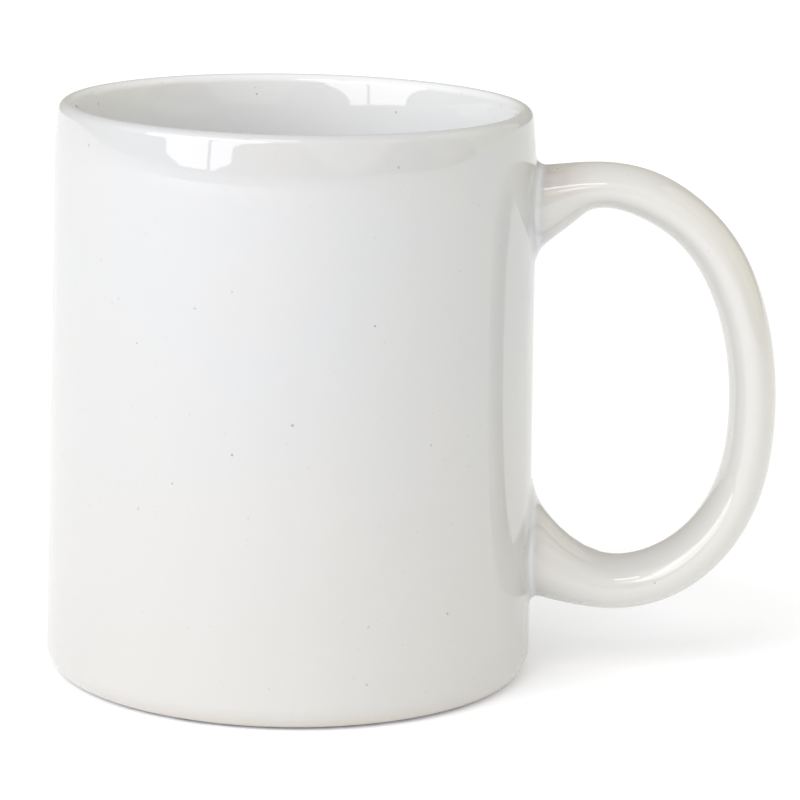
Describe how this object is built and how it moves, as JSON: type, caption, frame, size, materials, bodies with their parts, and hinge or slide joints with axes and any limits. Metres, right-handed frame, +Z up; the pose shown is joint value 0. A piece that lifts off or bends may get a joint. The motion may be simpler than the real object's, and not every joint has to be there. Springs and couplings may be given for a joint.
{
  "type": "ceramic mug",
  "caption": "Straight-sided ceramic mug with a rounded rim, an oval-section loop handle, white glaze and a bare foot ring.",
  "frame": {"origin": "on the cup's axis, in the plane of the foot ring that the mug stands on", "axes": "+Z up along the cup's axis, +X through the middle of the handle"},
  "size_m": [0.122, 0.0822, 0.0955],
  "materials": {
    "clay": "bare fired clay, matt and slightly rough",
    "glaze": "glossy white glaze with fine pinholes and specks"
  },
  "bodies": {
    "root": {"cup_body": "clay", "handle": "clay", "upper_slip_joint": "clay", "lower_slip_joint": "clay", "outer_glaze": "glaze", "liner_glaze": "glaze", "base_glaze": "glaze"}
  },
  "joints": []
}
